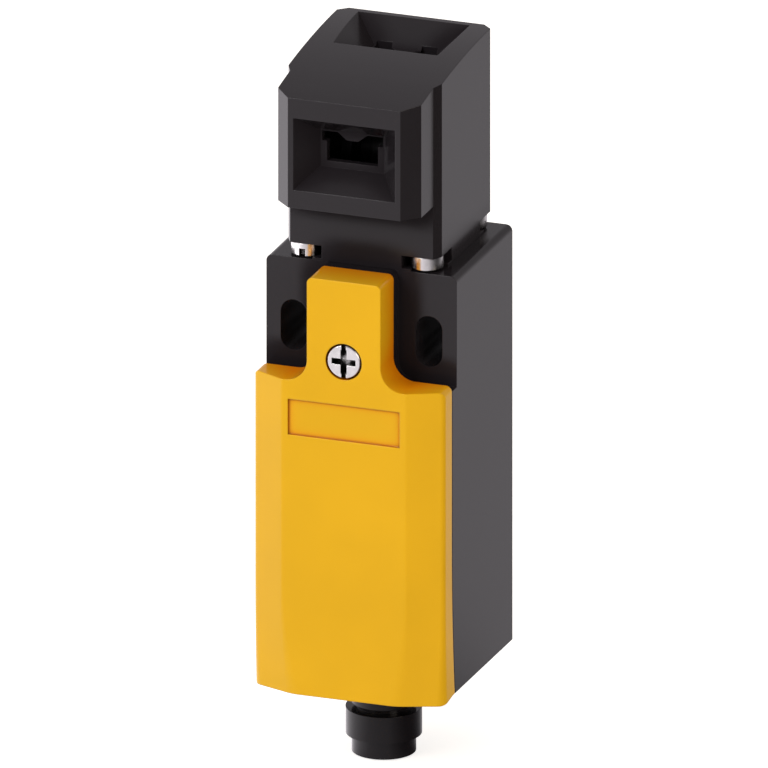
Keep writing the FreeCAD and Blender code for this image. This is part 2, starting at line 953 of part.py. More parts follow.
def head_hollows():
    """Rotor room, nose channel, both entries, axle grooves and the seat of the base plate."""
    half = head_width / 2
    ceiling = foot_z + head_rear_height - entry_depth - entry_plate
    inner_half = half - head_wall
    front_inner = head_front_y + head_wall
    rear_inner = head_front_y + head_depth - head_wall
    room_low = top_z + pocket_height + pocket_ceiling
    room = box((-inner_half, inner_half), (front_inner, rear_inner), (room_low, ceiling))
    nose_room = box(
        (nose_wall - nose_half_width, nose_half_width - nose_wall),
        (head_front_y - nose_projection + entry_depth + entry_plate, front_inner + 1),
        (foot_z + nose_bottom_height + nose_wall, ceiling - nose_wall),
    )
    cutters = [room, nose_room, *base_arms(EDGE, top_z - 1, room_low + 1)]
    front_mouth = (front_entry_half, front_entry_low, front_entry_high)
    top_mouth = (top_entry_half, top_entry_low, top_entry_high)
    cutters += entry_cutter(front_place, front_mouth, front_ear_top)
    cutters += entry_cutter(top_place, top_mouth, top_ear_top)
    for side in (-1, 1):
        x_range = (side * (inner_half - 1), side * axle_half)
        low = Vector(x_range[0], rotor_y, rotor_z)
        cutters.append(rod(axle_radius, low, X_AXIS * side, axle_half - inner_half + 1))
        cutters.append(box(x_range, (rotor_y - axle_radius, rotor_y + axle_radius), (room_low, rotor_z)))
    return cutters


def base_arms(gap, low, high):
    """The cross-shaped foot opening between the four corner pockets."""
    long_half = base_arm_half + gap
    short_half = base_arm_width + gap
    return [
        box((-short_half, short_half), (head_mid_y - long_half, head_mid_y + long_half), (low, high)),
        box((-long_half, long_half), (head_mid_y - short_half, head_mid_y + short_half), (low, high)),
    ]


def head_pockets():
    """Corner pockets for the screw heads; a thin lip stays below each head's inner half."""
    half = head_width / 2
    inner = half - pocket_size
    cutters = []
    for x, y in head_screw_places():
        side = math.copysign(1, x)
        end = math.copysign(1, y - head_mid_y)
        x_range = (side * inner, side * (half + 1))
        y_inner = head_mid_y + end * (head_depth / 2 - pocket_size)
        y_range = (y_inner, head_mid_y + end * (head_depth / 2 + 1))
        cutters.append(box(x_range, y_range, (screw_seat_z, top_z + pocket_height)))
        lip_x = (side * (head_screw_half - head_screw_lip_radius), side * (half + 1))
        lip_inner = head_mid_y + end * (head_screw_half - head_screw_lip_radius)
        lip_y = (lip_inner, head_mid_y + end * (head_depth / 2 + 1))
        cutters.append(box(lip_x, lip_y, (top_z - 1, screw_seat_z + EDGE)))
    return cutters


def head_base():
    """Plate that closes the head's foot and guides the plunger."""
    plate = fuse(base_arms(-seat_gap, top_z, top_z + base_thickness))
    guide = rod(guide_radius, Vector(0, stem_y, top_z), Z_AXIS, base_thickness + guide_height)
    bore = rod(
        plunger_radius + plunger_clearance,
        Vector(0, stem_y, top_z - 1),
        Z_AXIS,
        base_thickness + guide_height + 2,
    )
    return fuse([plate, guide]).cut(bore)


def head_seal():
    start = Vector(0, stem_y, top_z - head_seal_thickness)
    return ring(head_seal_outer, head_seal_inner, start, Z_AXIS, head_seal_thickness)


def plunger_wiper():
    start = Vector(0, stem_y, top_z - head_seal_thickness - wiper_thickness)
    return ring(wiper_radius, plunger_radius + plunger_clearance, start, Z_AXIS, wiper_thickness)


def head_screw(x, y):
    """Clamping screw; its cylindrical head is turned by a pin in one of its side notches."""
    head_height = pocket_height - clamp_lip - seat_gap
    head = rod(head_screw_radius, Vector(x, y, screw_seat_z), Z_AXIS, head_height)
    shank = rod(
        head_screw_shank,
        Vector(x, y, top_z - head_screw_shank_length),
        Z_AXIS,
        head_screw_shank_length + clamp_lip + head_height / 2,
    )
    notch = box(
        (x - head_screw_notch_width / 2, x + head_screw_notch_width / 2),
        (y - head_screw_radius - 1, y - head_screw_notch_floor),
        (screw_seat_z - EDGE, screw_seat_z + head_screw_notch_height),
    )
    notches = []
    turn = 0 if x < 0 else head_screw_right_turn
    for angle in (turn, turn + 180):
        copy = notch.copy()
        copy.rotate(Vector(x, y, 0), Z_AXIS, angle)
        notches.append(copy)
    return fuse([head, shank]).cut(notches)


# Rotor and plunger


def cam_lobe():
    """Lobe whose involute flank lifts a flat follower evenly: lift = base radius x angle."""
    base = cam_involute_radius
    lead_in = math.radians(cam_lead_in)
    turn = math.radians(rotor_turn)
    points = []
    steps = 8
    for i in range(steps + 1):
        angle = math.pi - lead_in + (turn + 2 * lead_in) * i / steps
        string = cam_reach - base * (angle - math.pi)
        y = base * math.cos(angle) - string * math.sin(angle)
        z = base * math.sin(angle) + string * math.cos(angle)
        points.append(Vector(-cam_half_width, rotor_y + y, rotor_z + z))
    flank = Part.BSplineCurve()
    flank.interpolate(points)
    hub = Vector(-cam_half_width, rotor_y, rotor_z)
    edges = [flank.toShape(), Part.makeLine(points[-1], hub), Part.makeLine(hub, points[0])]
    return Part.Face(Part.Wire(edges)).extrude(X_AXIS * (2 * cam_half_width))


def cam_hub():
    """Hub with the plunger cam in the middle, running on the axle."""
    hub = rod(rotor_hub_radius, Vector(-rotor_hub_half, rotor_y, rotor_z), X_AXIS, 2 * rotor_hub_half)
    cam = rod(cam_base_radius, Vector(-cam_half_width, rotor_y, rotor_z), X_AXIS, 2 * cam_half_width)
    bore = rod(
        axle_radius + axle_clearance,
        Vector(-rotor_hub_half - 1, rotor_y, rotor_z),
        X_AXIS,
        2 * rotor_hub_half + 2,
    )
    return fuse([hub, cam, cam_lobe()]).cut(bore)


def code_disc():
    """Right-hand coded half disc: one notch faces the front entry and one the top entry."""
    start = Vector(code_disc_inner, rotor_y, rotor_z)
    half_disc = rod(code_disc_radius, start, X_AXIS, code_disc_thickness).common(
        box(
            (code_disc_inner - 1, code_disc_inner + code_disc_thickness + 1),
            (rotor_y - 2 * code_disc_radius, rotor_y + 2 * code_disc_radius),
            (rotor_z, rotor_z + 2 * code_disc_radius),
        )
    )
    eye = rod(code_disc_ring, start, X_AXIS, code_disc_thickness)
    disc = fuse([half_disc, eye]).cut(rod(rotor_hub_radius, start, X_AXIS, code_disc_thickness))
    middle_rise = foot_z + (code_low + code_high) / 2 - rotor_z
    lean = math.degrees(math.asin(middle_rise / code_disc_radius))
    notches = []
    for angle in (90 - lean, 180 - lean):
        floor = code_disc_radius - code_notch_depth
        notch = box(
            (code_disc_inner - 1, code_disc_inner + code_disc_thickness + 1),
            (rotor_y + floor, rotor_y + code_disc_radius + 1),
            (rotor_z - code_notch_width / 2, rotor_z + code_notch_width / 2),
        )
        notch.rotate(Vector(0, rotor_y, rotor_z), X_AXIS, angle)
        notches.append(notch)
    return disc.cut(notches)


def rotor_axle():
    return rod(axle_radius, Vector(-axle_half, rotor_y, rotor_z), X_AXIS, 2 * axle_half)


def axle_keeper():
    """Strip that fills the right-hand groove below the axle and carries it."""
    inner = head_width / 2 - head_wall
    low = top_z + pocket_height + pocket_ceiling
    strip = box((inner, axle_half), (rotor_y - axle_radius, rotor_y + axle_radius), (low, rotor_z))
    return strip.cut(rod(axle_radius, Vector(inner - 1, rotor_y, rotor_z), X_AXIS, axle_half))


def plunger_top_z():
    return rotor_z - cam_reach - follower_gap


def flange_z():
    return plunger_top_z() - plunger_pad_thickness - plunger_flange


def head_plunger():
    """Flat-faced follower under the cam, with a spring flange and a round stem."""
    pad = prism(
        "z",
        [
            (-plunger_pad_half, stem_y - plunger_pad_front, plunger_pad_corner),
            (plunger_pad_half, stem_y - plunger_pad_front, plunger_pad_corner),
            (plunger_pad_half, stem_y + plunger_pad_rear, plunger_pad_corner),
            (-plunger_pad_half, stem_y + plunger_pad_rear, plunger_pad_corner),
        ],
        flange_z(),
        plunger_top_z(),
    )
    flange = rod(plunger_flange_radius, Vector(0, stem_y, flange_z()), Z_AXIS, plunger_flange)
    end_z = foot_z + plunger_end_height
    stem = rod(plunger_radius, Vector(0, stem_y, end_z), Z_AXIS, flange_z() + plunger_flange / 2 - end_z)
    return fuse([pad, flange, stem])


def plunger_spring():
    low = top_z + base_thickness
    return coil(
        plunger_spring_radius,
        plunger_spring_wire,
        plunger_spring_turns,
        low,
        flange_z(),
    )


# Contact block


def break_strip_z():
    return foot_z + break_strip_height - strip_thickness


def make_strip_z():
    return foot_z + make_strip_height


def break_bridge_z():
    """Lower face of the break bridge: open by the plunger's travel at rest."""
    return break_strip_z() - 2 * button_height - contact_gap - plunger_travel - strip_thickness


def make_bridge_z():
    """Lower face of the make bridge: closed at rest."""
    return make_strip_z() + strip_thickness + 2 * button_height + contact_gap


def terminal_z(level, direction):
    """Height of a terminal screw, measured along its strip's front leg."""
    return level + direction * terminal_screw_drop + strip_thickness / 2


def fixed_contact(level, direction, facing):
    """Right-hand strip: a contact tongue in the chamber, bent up or down at the front as a terminal."""
    tongue = box(
        (strip_tip, terminal_outer),
        (stem_y - strip_half_depth, stem_y + strip_half_depth),
        (level, level + strip_thickness),
    )
    shelf = box(
        (terminal_inner, terminal_outer),
        (terminal_face_y(), stem_y),
        (level, level + strip_thickness),
    )
    leg_end = level + strip_thickness / 2 + direction * terminal_leg
    leg = box(
        (terminal_inner, terminal_outer),
        (terminal_face_y(), terminal_face_y() + strip_thickness),
        (level + strip_thickness / 2, leg_end),
    )
    button_z = level - button_height if facing < 0 else level + strip_thickness
    button = rod(button_radius, Vector(button_offset, stem_y, button_z), Z_AXIS, button_height)
    hole = rod(
        terminal_screw_radius,
        Vector(terminal_x(), terminal_face_y() - 1, terminal_z(level, direction)),
        Y_AXIS,
        strip_thickness + 2,
    )
    return fuse([tongue, shelf, leg, button]).cut(hole)


def terminal_x():
    return (terminal_inner + terminal_outer) / 2


def terminal_face_y():
    return -block_front + clamp_thickness


def terminal_levels():
    """(strip height, leg direction) of the break and the make terminals."""
    return [(break_strip_z(), -1), (make_strip_z(), 1)]


def contact_block_base():
    """Moulded base: a chamber for the carrier and a column of two terminals on each side."""
    top = foot_z + block_top_height
    bottom = foot_z + block_bottom_height
    body = box((-block_half, block_half), (-block_front, -rear_wall), (bottom, top))
    columns = [
        box(
            (side * (terminal_inner - terminal_partition), side * block_half),
            (-block_barrier_front, -block_front + 1),
            (bottom, top),
        )
        for side in (-1, 1)
    ]
    chamber_z = (foot_z + chamber_bottom_height, foot_z + chamber_top_height)
    chamber = box((-chamber_half, chamber_half), (-block_front - 1, -chamber_rear), chamber_z)
    rib_front = stem_y + carrier_depth_half + guide_rib_gap
    rib = box((-guide_rib_half, guide_rib_half), (rib_front, -chamber_rear + 1), chamber_z)
    stem_hole = rod(
        carrier_stem_radius + stem_clearance,
        Vector(0, stem_y, chamber_z[1] - 1),
        Z_AXIS,
        top - chamber_z[1] + 2,
    )
    seat = box(
        (-chamber_half, chamber_half),
        (-block_front - 1, window_plate - block_front),
        window_span(),
    )
    cutters = [stem_hole, seat]
    for x in (-block_screw_half, block_screw_half):
        start = Vector(x, -block_front, foot_z + block_screw_height)
        cutters.append(rod(block_screw_radius, start, Y_AXIS, block_front))
        boss_y = -rear_wall - block_boss_length
        start = Vector(x, boss_y, foot_z + block_screw_height)
        cutters.append(rod(block_boss_radius + block_boss_gap, start, Y_AXIS, block_boss_length + 1))
    for level, direction in terminal_levels():
        for shape in terminal_recess(level, direction):
            cutters += both_sides(shape)
    return fuse([fuse([body, *columns]).cut(chamber), rib]).cut(cutters)


def terminal_recess(level, direction):
    """Right-hand seat of one strip, room for its clamp and the lead's way in."""
    gap = seat_gap
    leg_end = level + strip_thickness / 2 + direction * (terminal_leg + gap)
    x_range = (terminal_inner - gap, terminal_outer + gap)
    shelf_seat = box(
        (chamber_half - 1, terminal_outer + gap),
        (terminal_face_y() - gap, stem_y + strip_half_depth + gap),
        (level, level + strip_thickness),
    )
    back = level + strip_thickness / 2 - direction * strip_thickness / 2
    leg_y = (-block_barrier_front - 1, terminal_face_y() + strip_thickness)
    leg_seat = box(x_range, leg_y, (back, leg_end))
    screw = rod(
        terminal_screw_radius + 2 * gap,
        Vector(terminal_x(), -block_front, terminal_z(level, direction)),
        Y_AXIS,
        terminal_screw_length,
    )
    entry_top = min(back, leg_end)
    entry_low = entry_top - lead_way_length if direction < 0 else foot_z + block_bottom_height - 1
    entry_half = 2 * lead_radius
    lead_way = box(
        (terminal_x() - entry_half, terminal_x() + entry_half),
        (-block_barrier_front - 1, terminal_face_y() + lead_radius),
        (entry_low, entry_top + EDGE),
    )
    return [shelf_seat, leg_seat, screw, lead_way]


def window_span():
    return (
        foot_z + chamber_bottom_height - window_overlap,
        foot_z + chamber_top_height + window_overlap,
    )


def contact_block_window():
    """Clear plate over the contact chamber, seated on a ledge above and below it."""
    return box(
        (-chamber_half, chamber_half),
        (-block_front, window_plate - block_front),
        window_span(),
    )


def contact_block_screw(x):
    """Pan-head screw from inside the chamber into the housing's boss."""
    z = foot_z + block_screw_height
    head = rod(
        block_screw_head_radius,
        Vector(x, -chamber_rear - block_screw_head, z),
        Y_AXIS,
        block_screw_head,
    )
    start = Vector(x, -chamber_rear - block_screw_head / 2, z)
    shank = rod(block_screw_radius, start, Y_AXIS, block_screw_length + block_screw_head / 2)
    recess = box(
        (x - block_screw_head_radius, x + block_screw_head_radius),
        (-chamber_rear - block_screw_head - 1, -chamber_rear - block_screw_head / 2),
        (z - terminal_slot_width / 2, z + terminal_slot_width / 2),
    )
    return fuse([head, shank]).cut(recess)


def contact_carrier():
    """Sliding bar with one window for each bridge, and a stem up to the plunger."""
    break_window = (break_bridge_z() + strip_thickness - bridge_window, break_bridge_z() + strip_thickness)
    make_window = (make_bridge_z(), make_bridge_z() + bridge_window)
    bar_low = make_window[0] - carrier_sill
    bar_high = break_window[1] + carrier_sill
    bar = box(
        (-carrier_half, carrier_half),
        (stem_y - carrier_depth_half, stem_y + carrier_depth_half),
        (bar_low, bar_high),
    )
    bar = round_edges(bar, 0.5, lambda middle, run: abs(run.z) > 1)
    stem_top = foot_z + plunger_end_height - follower_gap
    stem_low = bar_high - carrier_sill / 2
    stem = rod(carrier_stem_radius, Vector(0, stem_y, stem_low), Z_AXIS, stem_top - stem_low)
    windows = [
        box(
            (-carrier_half - 1, carrier_half + 1),
            (stem_y - bridge_window_half, stem_y + bridge_window_half),
            z_range,
        )
        for z_range in (break_window, make_window)
    ]
    return fuse([bar, stem]).cut(windows)


def bridge(low, facing):
    """Moving contact bar with a button at each end."""
    plate = box(
        (-bridge_half, bridge_half),
        (stem_y - strip_half_depth, stem_y + strip_half_depth),
        (low, low + strip_thickness),
    )
    button_z = low + strip_thickness if facing > 0 else low - button_height
    buttons = [
        rod(button_radius, Vector(x, stem_y, button_z), Z_AXIS, button_height)
        for x in (-button_offset, button_offset)
    ]
    return fuse([plate, *buttons])


def contact_springs():
    """One spring in each carrier window."""
    break_floor = break_bridge_z() + strip_thickness - bridge_window
    make_top = make_bridge_z() + bridge_window
    spans = [(break_floor, break_bridge_z()), (make_bridge_z() + strip_thickness, make_top)]
    return [
        coil(contact_spring_radius, contact_spring_wire, contact_spring_turns, low, high)
        for low, high in spans
    ]


def return_spring():
    low = foot_z + chamber_bottom_height
    high = make_bridge_z() - carrier_sill
    return coil(return_spring_radius, return_spring_wire, return_spring_turns, low, high)


# Terminals


def terminal_clamp(level, direction):
    """Square washer with a channel for the conductor below the screw."""
    z = terminal_z(level, direction)
    plate = box(
        (terminal_inner + clamp_edge, terminal_outer - clamp_edge),
        (-block_front, terminal_face_y()),
        (z - clamp_height / 2, z + clamp_height / 2),
    )
    hole = rod(clamp_hole, Vector(terminal_x(), -block_front - 1, z), Y_AXIS, clamp_thickness + 2)
    groove = box(
        (terminal_x() - conductor_radius, terminal_x() + conductor_radius),
        (conductor_y() - conductor_radius, terminal_face_y() + 1),
        (z - clamp_height, z),
    )
    return plate.cut([hole, groove])


def conductor_y():
    return terminal_face_y() - conductor_radius


def terminal_screw(level, direction):
    z = terminal_z(level, direction)
    head = rod(
        terminal_head_radius,
        Vector(terminal_x(), -block_front - terminal_head_depth, z),
        Y_AXIS,
        terminal_head_depth,
    )
    shank = rod(
        terminal_screw_radius,
        Vector(terminal_x(), -block_front - terminal_head_depth / 2, z),
        Y_AXIS,
        terminal_screw_length + terminal_head_depth / 2 - seat_gap,
    )
    slot_y = -block_front - terminal_head_depth + terminal_slot_depth
    slot = box(
        (terminal_x() - terminal_slot_width / 2, terminal_x() + terminal_slot_width / 2),
        (slot_y - terminal_head_depth, slot_y),
        (z - terminal_head_radius, z + terminal_head_radius),
    )
    return fuse([head, shank]).cut(slot)


# Device plug


def plug_shell():
    """Round plug body: stub through the floor, collar, groove, coupling thread and tip."""
    centre = Vector(0, plug_y, 0)
    stub_top = chamber_floor_z + plug_stub_rise
    stages = [
        (plug_stub_radius, foot_z, stub_top),
        (plug_collar_radius, plug_collar_z, foot_z),
        (plug_groove_radius, plug_thread_z, plug_collar_z),
        (plug_thread_radius, plug_tip_z, plug_thread_z),
        (plug_tip_radius, plug_end_z, plug_tip_z),
    ]
    profile = [Vector(plug_insert_radius, plug_y, stub_top)]
    for radius, low, high in stages:
        profile.append(Vector(radius, plug_y, high))
        profile.append(Vector(radius, plug_y, low))
    shoulder = plug_end_z + plug_bore_depth
    profile.append(Vector(plug_bore_radius, plug_y, plug_end_z))
    profile.append(Vector(plug_bore_radius, plug_y, shoulder))
    profile.append(Vector(plug_insert_radius, plug_y, shoulder))
    profile.append(profile[0])
    shell = Part.Face(Part.makePolygon(profile)).revolve(centre, Z_AXIS, 360)
    key = box(
        (-plug_key_width / 2, plug_key_width / 2),
        (plug_y + plug_bore_radius - plug_key_depth, plug_y + plug_bore_radius + seat_gap),
        (plug_end_z + plug_key_recess, shoulder),
    )
    return fuse([shell, key])


def pin_places():
    """The four pins, square about the plug's axis."""
    offset = plug_pin_circle / 2 / math.sqrt(2)
    return [(x * offset, plug_y + y * offset) for x in (-1, 1) for y in (-1, 1)]


def plug_insert():
    """Contact insert that holds the pins."""
    low = plug_end_z + plug_bore_depth
    high = chamber_floor_z + plug_stub_rise
    body = rod(plug_insert_radius, Vector(0, plug_y, low), Z_AXIS, high - low)
    holes = [rod(plug_pin_radius, Vector(x, y, low - 1), Z_AXIS, high - low + 2) for x, y in pin_places()]
    return body.cut(holes)


def plug_pin(x, y):
    low = plug_end_z + plug_pin_recess
    return rod(plug_pin_radius, Vector(x, y, low), Z_AXIS, pin_top_z() - low)


def pin_top_z():
    return chamber_floor_z + plug_stub_rise + plug_pin_tail


def plug_locknut():
    """Hexagon nut that holds the plug against the housing's floor."""
    corner = locknut_flats / 2 / math.cos(math.radians(30))
    corners = [
        (corner * math.cos(math.radians(60 * k)), plug_y + corner * math.sin(math.radians(60 * k)))
        for k in range(6)
    ]
    nut = prism("z", corners, chamber_floor_z, chamber_floor_z + locknut_thickness)
    bore_start = Vector(0, plug_y, chamber_floor_z - 1)
    return nut.cut(rod(plug_stub_radius, bore_start, Z_AXIS, locknut_thickness + 2))


def plug_seal():
    start = Vector(0, plug_y, foot_z)
    return ring(plug_seal_radius, plug_stub_radius, start, Z_AXIS, plug_seal_thickness)


# Internal leads


def lead(points):
    """Insulated lead along straight runs with eased corners, bared at both ends."""
    places = [Vector(*p) for p in points]
    path = [places[0]]
    for before, corner, after in zip(places, places[1:], places[2:]):
        half = (before - corner).getAngle(after - corner) / 2
        room = 0.45 * min((before - corner).Length, (after - corner).Length)
        path += corner_arc(before, corner, after, min(lead_bend, room * math.tan(half)))
    path.append(places[-1])
    pieces = [polygon_tube(path, lead_radius, lead_facets)]
    for tip, inner in ((path[0], path[1]), (path[-1], path[-2])):
        along = (tip - inner).normalize()
        ends = [tip - along * lead_radius, tip + along * conductor_length]
        pieces.append(polygon_tube(ends, conductor_radius, lead_facets))
    return fuse(pieces)


def lead_start_z(level, direction):
    """Just below the strip's lowest metal, where the insulation begins."""
    leg_end = level + strip_thickness / 2 + direction * terminal_leg
    return min(level, leg_end) - 2 * seat_gap


def lead_routes():
    """Routes from the four terminals to the tails of the four pins."""
    end_z = pin_top_z() + conductor_length
    offset = plug_pin_circle / 2 / math.sqrt(2)
    under_z = foot_z + block_bottom_height - 2 * lead_radius
    y = conductor_y()
    x = terminal_x()
    clear_y = -block_barrier_front - 2 * lead_radius
    routes = {}
    for name, side in (("left", -1), ("right", 1)):
        z = lead_start_z(break_strip_z(), -1)
        routes[f"break_lead_{name}"] = [
            (side * x, y, z),
            (side * x, y, z - lead_end_run),
            (side * x, clear_y, z - 3 * lead_end_run),
            (side * x, clear_y, under_z),
            (side * offset, plug_y - offset, end_z + lead_end_run),
            (side * offset, plug_y - offset, end_z),
        ]
        z = lead_start_z(make_strip_z(), 1)
        routes[f"make_lead_{name}"] = [
            (side * x, y, z),
            (side * x, y, under_z),
            (side * offset, plug_y + offset, end_z + lead_end_run),
            (side * offset, plug_y + offset, end_z),
        ]
    return routes


def build():
    os.makedirs("parts", exist_ok=True)
    save("housing", housing())
    save("cover", cover())
    save("cover_gasket", cover_gasket())
    save("cover_screw", cover_screw())
    save("cover_screw_retainer", cover_screw_retainer())
    save("cover_insert", cover_insert())
    save("head_housing", head_housing())
    save("head_base", head_base())
    save("head_seal", head_seal())
    save("plunger_wiper", plunger_wiper())
    save("head_screws", *[head_screw(x, y) for x, y in head_screw_places()])
    save("cam_hub", cam_hub())
    right_disc, left_disc = both_sides(code_disc())
    save("code_disc_right", right_disc)
    save("code_disc_left", left_disc)
    save("rotor_axle", rotor_axle())
    save("axle_keepers", *both_sides(axle_keeper()))
    save("head_plunger", head_plunger())
    save("plunger_spring", plunger_spring())
    save("contact_block_base", contact_block_base())
    save("contact_block_window", contact_block_window())
    save("contact_block_screws", *both_sides(contact_block_screw(block_screw_half)))
    save("contact_carrier", contact_carrier())
    save("break_bridge", bridge(break_bridge_z(), 1))
    save("make_bridge", bridge(make_bridge_z(), -1))
    save("contact_springs", *contact_springs())
    save("return_spring", return_spring())
    save("break_contacts", *both_sides(fixed_contact(break_strip_z(), -1, -1)))
    save("make_contacts", *both_sides(fixed_contact(make_strip_z(), 1, 1)))
    clamps = []
    screws = []
    for level, direction in terminal_levels():
        clamps += both_sides(terminal_clamp(level, direction))
        screws += both_sides(terminal_screw(level, direction))
    save("terminal_clamps", *clamps)
    save("terminal_screws", *screws)
    save("plug_shell", plug_shell())
    save("plug_insert", plug_insert())
    save("plug_pins", *[plug_pin(x, y) for x, y in pin_places()])
    save("plug_locknut", plug_locknut())
    save("plug_seal", plug_seal())
    for name, points in lead_routes().items():
        save(name, lead(points))


build()
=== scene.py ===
import math

import bpy
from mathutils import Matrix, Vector


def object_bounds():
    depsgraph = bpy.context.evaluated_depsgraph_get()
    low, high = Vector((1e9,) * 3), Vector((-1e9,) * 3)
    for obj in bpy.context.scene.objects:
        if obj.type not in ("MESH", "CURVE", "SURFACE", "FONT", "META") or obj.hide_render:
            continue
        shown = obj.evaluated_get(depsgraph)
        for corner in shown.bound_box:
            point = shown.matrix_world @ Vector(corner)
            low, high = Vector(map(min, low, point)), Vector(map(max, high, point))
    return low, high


# Tongue interlock switch: materials, floor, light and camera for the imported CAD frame.
# Lengths are in metres, in the CAD frame: origin on the rear mounting face, +Z up, -Y out of
# the cover side. Angles are in degrees.

MM = 0.001

# Camera: a parallel view from the front, turned to the right and raised
VIEW_AZIMUTH = 20.0
VIEW_ELEVATION = 20.0
VIEW_AIM = Vector((0.0, -14.93, -11.74)) * MM
VIEW_WIDTH = 117.56 * MM
VIEW_DISTANCE = 1.2

# Colours, as linear values
WHITE = (1.0, 1.0, 1.0)
WARM_WHITE = (1.0, 0.90, 0.80)
BLACK_PLASTIC = (0.0150, 0.0128, 0.0152)
YELLOW_PLASTIC = (0.785, 0.438, 0.009)
# Painted shade on the cover: orange in its shaded inner corners, and darker along its recess
# edges
SHADED_YELLOW = (0.83, 0.235, 0.0)
CORNER_SHADE_YELLOW = (0.42, 0.130, 0.0)
PLUG_PLASTIC = (0.0075, 0.0062, 0.0077)
SEAL_RUBBER = (0.012, 0.012, 0.013)
NICKEL = (0.94, 0.92, 0.91)
STEEL = (0.56, 0.57, 0.58)
# Near-black steel for the code discs: painted shade, so the opening they sit behind looks dark
OPENING_SHADE_STEEL = (0.035, 0.034, 0.036)
SPRING_STEEL = (0.46, 0.47, 0.49)
BRASS = (0.72, 0.50, 0.20)
GOLD = (0.90, 0.66, 0.28)
INNER_PLASTIC = (0.030, 0.030, 0.033)
PLUNGER_PLASTIC = (0.52, 0.045, 0.030)
# Near-black rotor hub: painted shade, so the opening it sits behind looks dark
ROTOR_PLASTIC = (0.012, 0.012, 0.014)
BLOCK_PLASTIC = (0.11, 0.12, 0.13)
CLEAR_PLASTIC = (0.90, 0.93, 0.95)
CONTACT_METAL = (0.76, 0.66, 0.44)
INSERT_PLASTIC = (0.018, 0.018, 0.020)
# Painted shade in the screws' slots, cross recesses and notches
SCREW_HOLLOW_SHADE = (0.010, 0.009, 0.009)
LEAD_COLOURS = {
    "break_lead_left": (0.17, 0.070, 0.028),
    "break_lead_right": (0.74, 0.74, 0.71),
    "make_lead_left": (0.025, 0.090, 0.40),
    "make_lead_right": (0.016, 0.016, 0.017),
}

# Tints of the gloss: the cover's is yellowish, and in recesses it is dimmed almost to nothing as
# painted shade
YELLOW_GLOSS = (1.0, 0.90, 0.45)
SHADED_GLOSS = (0.04, 0.04, 0.04)

# Painted shade in inner corners and recesses: how far away a neighbouring face still counts, and
# the share of open surroundings at which the painted shade is full and at which it is gone. A
# corner's colour comes first.
# Painted shade on the black plastic: its gloss is dimmed in recesses
BLACK_RECESS_SHADE = (5.0 * MM, 0.86, 1.0)
COVER_PAINTED_SHADE = (
    (SHADED_YELLOW, 9.0 * MM, 0.62, 1.0),
    (CORNER_SHADE_YELLOW, 0.9 * MM, 0.55, 0.85),
)
SCREW_PAINTED_SHADE = ((SCREW_HOLLOW_SHADE, 1.6 * MM, 0.55, 0.85),)
CORNER_SAMPLES = 8

# Softened edges
HOUSING_EDGE = 0.14 * MM
COVER_EDGE = 0.3 * MM
PLASTIC_EDGE = 0.25 * MM
RUBBER_EDGE = 0.15 * MM
METAL_EDGE = 0.12 * MM
EDGE_SAMPLES = 6

# Grain: noise periods per metre, and the depth of the bumps
EROSION_SCALE = 2600.0
EROSION_DEPTH = 0.004 * MM
COARSE_EROSION_DEPTH = 0.008 * MM
FLOW_SCALE = 60.0
SKIN_SCALE = 900.0
SKIN_DEPTH = 0.01 * MM
HAZE_SCALE = 300.0
EVEN_GRAIN = (900.0, 900.0, 900.0)
DRAWN_GRAIN = (120.0, 1500.0, 1500.0)
TURNED_GRAIN = (700.0, 700.0, 3000.0)
ROLLED_GRAIN = (1800.0, 200.0, 1800.0)
METAL_DEPTH = 0.003 * MM

# Most values of a noise texture lie between these two
NOISE_LOW = 0.3
NOISE_HIGH = 0.7

# Uneven gloss: shares of a material's roughness, and plain roughness for rubber and clear plastic
PLASTIC_UNEVENNESS = (0.9, 1.12)
METAL_UNEVENNESS = (0.75, 1.3)
RUBBER_ROUGHNESS = (0.62, 0.78)
CLEAR_ROUGHNESS = (0.04, 0.12)

# Refractive indices
PLASTIC_IOR = 1.45
PLUG_IOR = 1.38
CLEAR_IOR = 1.49

# What reflections see of the room: its brightness by direction, from the left wall to the right
# one, and the share of it that is left just above the horizon and overhead
ROOM_FROM_LEFT = ((0.0, 1.65), (0.33, 0.77), (0.62, 0.56), (0.76, 0.51), (1.0, 0.05))
ROOM_OVER_HORIZON = 0.74
ROOM_OVERHEAD = 0.43
ROOM_TINT = (1.0, 0.95, 1.0)

# Light from all round, the floor, and the lamps: name, place, size, power and colour
FILL_STRENGTH = 0.57
FLOOR_SIZE = 6.0
FLOOR_GAP = 0.2 * MM
FLOOR_PAINT = (0.80, 0.80, 0.80)
FLOOR_GLOW = 0.70
LAMPS = (
    ("key_left", (-0.55, -0.80, 0.65), 0.6, 7.0, WHITE),
    ("fill_right", (0.80, -0.45, 0.30), 0.5, 2.0, WARM_WHITE),
)


def new_material(name):
    """A node material with one Principled shader, and what is needed to add to it."""
    material = bpy.data.materials.new(name)
    material.use_nodes = True
    nodes = material.node_tree.nodes
    return material, nodes, material.node_tree.links, nodes["Principled BSDF"]


def noise(nodes, links, scale, detail=3.0):
    """Noise in object space, so that its grain has one real size all over the part."""
    coordinates = nodes.new("ShaderNodeTexCoord")
    texture = nodes.new("ShaderNodeTexNoise")
    texture.inputs["Scale"].default_value = scale
    texture.inputs["Detail"].default_value = detail
    links.new(coordinates.outputs["Object"], texture.inputs["Vector"])
    return texture.outputs["Fac"]


def stretched_noise(nodes, links, grain):
    """Noise in object space with its own number of periods per metre along each axis."""
    coordinates = nodes.new("ShaderNodeTexCoord")
    stretch = nodes.new("ShaderNodeMapping")
    stretch.inputs["Scale"].default_value = grain
    texture = nodes.new("ShaderNodeTexNoise")
    texture.inputs["Scale"].default_value = 1.0
    texture.inputs["Detail"].default_value = 4.0
    links.new(coordinates.outputs["Object"], stretch.inputs["Vector"])
    links.new(stretch.outputs["Vector"], texture.inputs["Vector"])
    return texture.outputs["Fac"]


